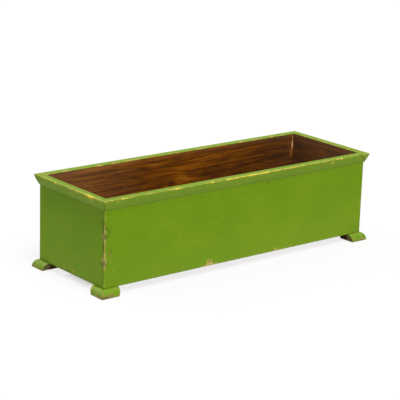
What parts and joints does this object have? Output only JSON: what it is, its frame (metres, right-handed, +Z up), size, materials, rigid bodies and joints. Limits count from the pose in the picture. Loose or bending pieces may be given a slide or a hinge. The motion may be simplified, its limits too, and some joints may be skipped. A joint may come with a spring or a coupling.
{
  "type": "window box planter",
  "caption": "Long painted wooden window box with a splayed, mitred rim moulding and moulded bracket feet, open at the top, with drain holes in its floor.",
  "frame": {"origin": "on the ground plane, under the middle of the box", "axes": "+X along the length, +Y from the front to the back, +Z up"},
  "size_m": [0.768, 0.269, 0.2115],
  "materials": {
    "painted_board": "green paint outside, dark stain inside",
    "painted_rim": "green paint, rubbed through on its edges",
    "painted_foot": "green paint, rubbed through on its edges",
    "stained_board": "dark brown stain",
    "bare_block": "bare sawn wood",
    "steel_fastener": "plain bright steel"
  },
  "bodies": {
    "root": {"back_board": "painted_board", "back_floor_nail_1": "steel_fastener", "back_floor_nail_2": "steel_fastener", "back_floor_nail_3": "steel_fastener", "back_left_corner_nail_1": "steel_fastener", "back_left_corner_nail_2": "steel_fastener", "back_left_corner_nail_3": "steel_fastener", "back_left_foot_block": "bare_block", "back_left_foot_end_moulding": "painted_foot", "back_left_foot_screw": "steel_fastener", "back_left_foot_side_moulding": "painted_foot", "back_right_corner_nail_1": "steel_fastener", "back_right_corner_nail_2": "steel_fastener", "back_right_corner_nail_3": "steel_fastener", "back_right_foot_block": "bare_block", "back_right_foot_end_moulding": "painted_foot", "back_right_foot_screw": "steel_fastener", "back_right_foot_side_moulding": "painted_foot", "back_rim": "painted_rim", "back_rim_brad_1": "steel_fastener", "back_rim_brad_2": "steel_fastener", "back_rim_brad_3": "steel_fastener", "floor_board": "stained_board", "front_board": "painted_board", "front_floor_nail_1": "steel_fastener", "front_floor_nail_2": "steel_fastener", "front_floor_nail_3": "steel_fastener", "front_left_corner_nail_1": "steel_fastener", "front_left_corner_nail_2": "steel_fastener", "front_left_corner_nail_3": "steel_fastener", "front_left_foot_block": "bare_block", "front_left_foot_end_moulding": "painted_foot", "front_left_foot_screw": "steel_fastener", "front_left_foot_side_moulding": "painted_foot", "front_right_corner_nail_1": "steel_fastener", "front_right_corner_nail_2": "steel_fastener", "front_right_corner_nail_3": "steel_fastener", "front_right_foot_block": "bare_block", "front_right_foot_end_moulding": "painted_foot", "front_right_foot_screw": "steel_fastener", "front_right_foot_side_moulding": "painted_foot", "front_rim": "painted_rim", "front_rim_brad_1": "steel_fastener", "front_rim_brad_2": "steel_fastener", "front_rim_brad_3": "steel_fastener", "left_end_board": "painted_board", "left_floor_nail_1": "steel_fastener", "left_floor_nail_2": "steel_fastener", "left_rim": "painted_rim", "left_rim_brad_1": "steel_fastener", "left_rim_brad_2": "steel_fastener", "right_end_board": "painted_board", "right_floor_nail_1": "steel_fastener", "right_floor_nail_2": "steel_fastener", "right_rim": "painted_rim", "right_rim_brad_1": "steel_fastener", "right_rim_brad_2": "steel_fastener"}
  },
  "joints": []
}
